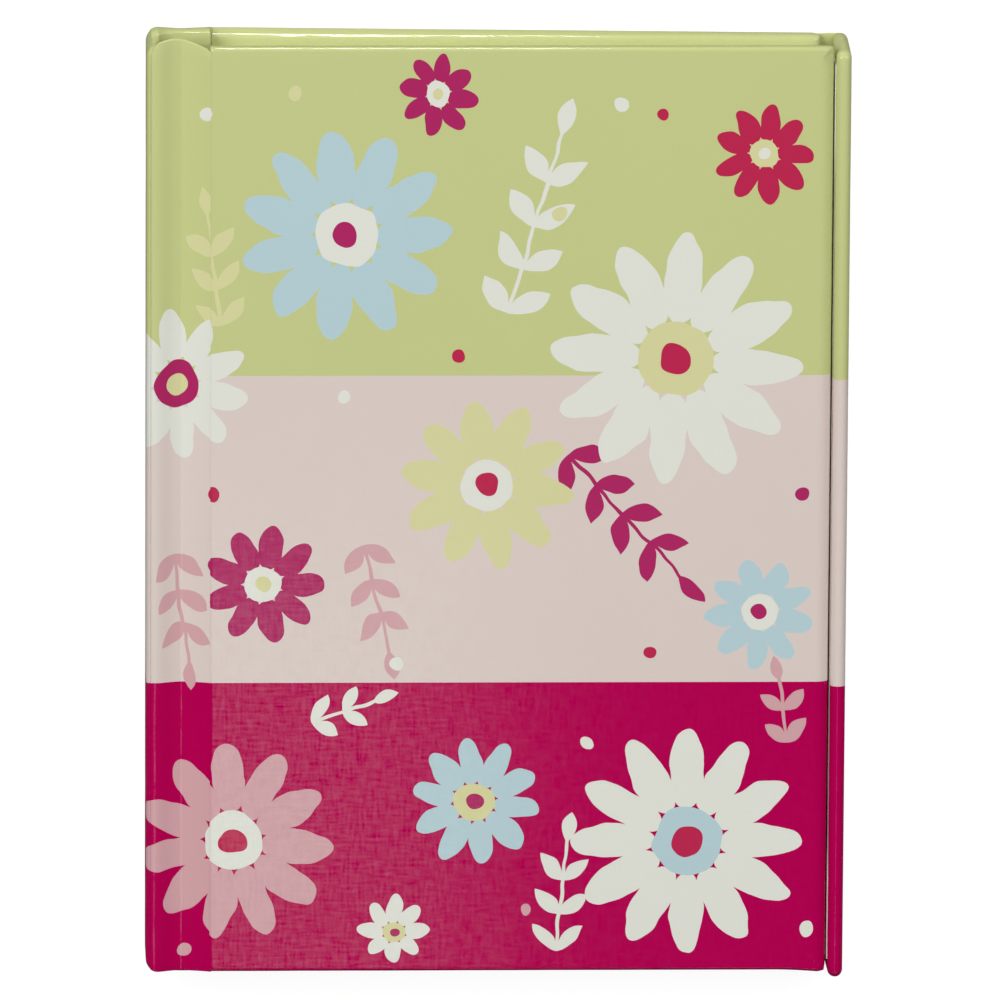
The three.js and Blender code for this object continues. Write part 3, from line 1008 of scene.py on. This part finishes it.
# The pasted leaf runs up into the groove, over the crease, and back down to the shoulder of the block
paste_low, paste_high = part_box("front_pastedown")
pasted_sheet = 0.16 * mm
groove_under = floor_z - groove_sheet - 0.12 * mm
pasted_path = [Vector((-64.4 * mm, groove_under))]
pasted_path += curve_between(pasted_path[0], (1.0 * mm, 0), (-58.9 * mm, groove_under), (1.0 * mm, 0), 14)
pasted_end = (paste_low.x + 0.6 * mm, paste_low.z + 0.05 * mm)
pasted_path += curve_between(pasted_path[-1], (1.4 * mm, 0), pasted_end, (1.4 * mm, 0), 8)
front_gutter_paper = paper_strip("front_gutter_paper", pasted_path, (paste_low.y, paste_high.y), pasted_sheet)
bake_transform(front_gutter_paper)

slack_path = [Vector((-64.3 * mm, groove_under - 0.02 * mm))]
slack_path += curve_between(slack_path[0], (1.4 * mm, 0.0), (-62.6 * mm, 11.85 * mm), (-0.2 * mm, -0.35 * mm), 7)
slack_path += curve_between(slack_path[-1], (-0.2 * mm, -0.3 * mm), (-65.1 * mm, 11.52 * mm), (-1.2 * mm, 0), 7)
gutter_paper = paper_strip("gutter_paper", slack_path, (fly_low.y, fly_high.y), endpaper_sheet)
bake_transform(gutter_paper)


# SECTIONS
# Eighty leaves of writing paper in five sections. Each section is eight sheets folded into each other, with a
# round fold at the spine, and all are trimmed together at the fore edge.
leaf_finish = plain_paper("leaf_paper", srgb(246, 242, 228), 0.04)
sheets_in_section = 8
leaf_share = 0.78
nesting = 0.9
trim_slack = 0.05
trim_seed = 3
path_spots = 10
fold_steps = 8


def leaf_noise(a, b):
    return noise.noise(Vector((a * 3.7 + trim_seed, b * 2.3, 0.5)))


def folded_section(name, low, high, fold_from, section):
    """Eight sheets, each folded once round the ones inside it"""
    thickness = high.z - low.z
    leaf_space = thickness / (2 * sheets_in_section)
    middle = (low.z + high.z) / 2
    vertices, faces = [], []
    shares = [(k / path_spots) ** 0.6 for k in range(path_spots)]
    for s in range(sheets_in_section):
        reach = (sheets_in_section - s - 0.5) * leaf_space
        leaf = leaf_space * leaf_share
        fold_x = fold_from + s * leaf_space * nesting
        trims = [high.x - (0.02 + trim_slack * abs(leaf_noise(s, section * 2 + k))) * mm for k in (0, 1)]
        lower, upper = (
            [Vector((trim - (trim - fold_x - reach) * share, z)) for share in shares]
            for trim, z in zip(trims, (middle - reach, middle + reach))
        )
        turns = [math.pi * k / fold_steps for k in range(fold_steps + 1)]
        fold = [Vector((fold_x + reach - reach * math.sin(a), middle - reach * math.cos(a))) for a in turns]
        path = lower + fold + upper[::-1]
        normals = path_normals(path)
        base = len(vertices)
        n = 2 * len(path)
        trim_y = 0.03 * mm * leaf_noise(s + 9, section)
        for y in (low.y + 0.03 * mm + abs(trim_y), high.y - 0.03 * mm - abs(trim_y)):
            for i, layer in there_and_back(len(path)):
                off = leaf / 2 * layer
                vertices.append((path[i].x + normals[i].x * off, y, path[i].y + normals[i].y * off))
        for i in range(n):
            j = (i + 1) % n
            faces.append((base + i, base + j, base + n + j, base + n + i))
        half = len(path)
        for i in range(half - 1):
            faces.append((base + i, base + n - 1 - i, base + n - 2 - i, base + i + 1))
            faces.append((base + n + i, base + n + i + 1, base + n + n - 2 - i, base + n + n - 1 - i))
    made = smooth_object(name, vertices, faces, None, leaf_finish)
    made.data.set_sharp_from_angle(angle=math.radians(40))
    return made


for section in range(1, 6):
    if section == 1:
        low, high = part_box("section_1_leaves")
        sheets = folded_section("section_1_sheets", low, high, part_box("section_1_fold")[0].x, section)
        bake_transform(sheets)
        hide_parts("section_1_leaves", "section_1_fold")
    else:
        low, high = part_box(f"section_{section}")
        sheets = folded_section(f"section_{section}_sheets", low, high, low.x, section)
        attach(sheets, "back_cover")
        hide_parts(f"section_{section}")


# BANDS
# A rolled core at each end of the block's spine, wrapped in cotton woven in two colours, with its tail of cloth
# glued down behind the folds.
bead_radius = 0.8 * mm
stripe_pitch = 1.3 * mm
thread_pitch = 0.26 * mm
thread_swell = 0.05
tail_cloth = 0.3 * mm
bead_turns = 16
bead_rows = 56
tail_steps = 14

band = Maker("band_cloth")
place = band.node("TexCoord", None, out=3)
height = band.node("SeparateXYZ", None, place, out=2)
stripe = (height * (1 / stripe_pitch)).math("FRACT") < 0.5
wound = (height * (1 / thread_pitch)).math("PINGPONG", 0.5)
fuzz = band.noise(place, 2500.0, 2.0)
band_color = band.mix(stripe, srgb(240, 232, 214), srgb(172, 20, 84))
# Painted shade: each turn of thread is coloured darker in the groove between turns, and the fuzz varies the tone at
# random
band_tone_and_groove_shade = (fuzz - 0.5) * 0.2 + wound * 0.5 + 0.78
band_finish = band.surface(
    band.node("VectorMath", {"operation": "SCALE"}, band_color, Scale=band_tone_and_groove_shade),
    fuzz * 0.1 + 0.72, wound + fuzz * 0.3, 0.06 * mm,
)


def rolled_band(name, node, hand):
    """A bead that stands along the folds and, behind it, its tail of cloth"""
    low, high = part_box(node)
    bead_y = (high.y - bead_radius) if hand > 0 else (low.y + bead_radius)
    bead_x = low.x + bead_radius
    vertices = []
    for r in range(bead_rows + 1):
        z = low.z + (high.z - low.z) * r / bead_rows
        radius = bead_radius * (1 - thread_swell * (1 + math.cos(math.tau * (z / thread_pitch))))
        for k in range(bead_turns):
            angle = math.tau * k / bead_turns
            vertices.append((bead_x + radius * math.cos(angle), bead_y + radius * math.sin(angle), z))
    faces = tube_faces(bead_turns, bead_rows + 1)
    base = len(vertices)
    tail_from = low.y if hand > 0 else high.y
    for k in range(tail_steps + 1):
        y = tail_from + (bead_y - tail_from) * k / tail_steps
        back, front = low.x, low.x + tail_cloth
        vertices += [(back, y, low.z), (back, y, high.z), (front, y, high.z), (front, y, low.z)]
    faces += [tuple(base + i for i in face) for face in tube_faces(4, tail_steps + 1)]
    made = smooth_object(name, vertices, faces, None, band_finish)
    made.data.set_sharp_from_angle(angle=math.radians(50))
    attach(made, "back_cover")
    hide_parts(node)


rolled_band("head_band_wound", "head_band", 1)
rolled_band("tail_band_wound", "tail_band", -1)


# BOARDS AND MAGNETS
# Grey millboard with dark and pale fibres, and small nickel-plated magnets let into the front board and the flap.
# Kraft paper lines the spine and the block, whose sections are held by waxed thread and open-weave cloth.
grey = Maker("greyboard")
place = grey.node("TexCoord", None, out=3)
specks = grey.noise(place, 900.0, 4.0, 0.7)
cloud = grey.noise(place, 90.0, 3.0)
flecks = grey.node("ValToRGB", None, specks)
ramp = flecks.socket.node.color_ramp
ramp.elements.new(0.52)
for stop, spot, tint in zip(ramp.elements, (0.30, 0.52, 0.75), ((112, 108, 102), (156, 150, 140), (190, 184, 172))):
    stop.position = spot
    stop.color = srgb(*tint)
board_tone = (cloud - 0.5) * 0.15 + 1.0
greyboard_finish = grey.surface(
    grey.node("VectorMath", {"operation": "SCALE"}, flecks, Scale=board_tone), specks * 0.1 + 0.85, specks, 0.05 * mm,
)
plating = Maker("magnet_plating")
place = plating.node("TexCoord", None, out=3)
scuff = plating.noise(place, 700.0, 3.0)
magnet_finish = plating.surface(
    plating.mix(scuff, srgb(196, 198, 200), srgb(176, 178, 182)), scuff * 0.2 + 0.22, scuff, 0.004 * mm, Metallic=1.0,
)
kraft_finish = plain_paper("kraft_paper", srgb(184, 152, 112), 0.16)
thread_finish = plain_paper("thread", srgb(240, 236, 226), 0.10, 0.7)

cloth = Maker("mull_cloth")
place = cloth.node("TexCoord", None, out=3)
along = cloth.node("SeparateXYZ", None, place, out=1)
mesh_pitch = 0.9 * mm
warp = (along * (1 / mesh_pitch)).math("PINGPONG", 0.5)
weft = (along.output(2) * (1 / mesh_pitch)).math("PINGPONG", 0.5)
threads = warp.math("MAXIMUM", weft)
mull_color = cloth.mix(threads > 0.28, srgb(190, 178, 150), srgb(232, 226, 208))
mull_finish = cloth.surface(mull_color, threads * 0.1 + 0.8, threads, 0.12 * mm)

dress(greyboard_finish, "back_board", "front_board", "spine_board", "flap_board")
dress(magnet_finish, "cover_magnet_upper", "cover_magnet_lower", "flap_magnet_upper", "flap_magnet_lower")
dress(kraft_finish, "spine_liner", "block_liner")
dress(thread_finish, "sewing_thread")
dress(mull_finish, "mull")
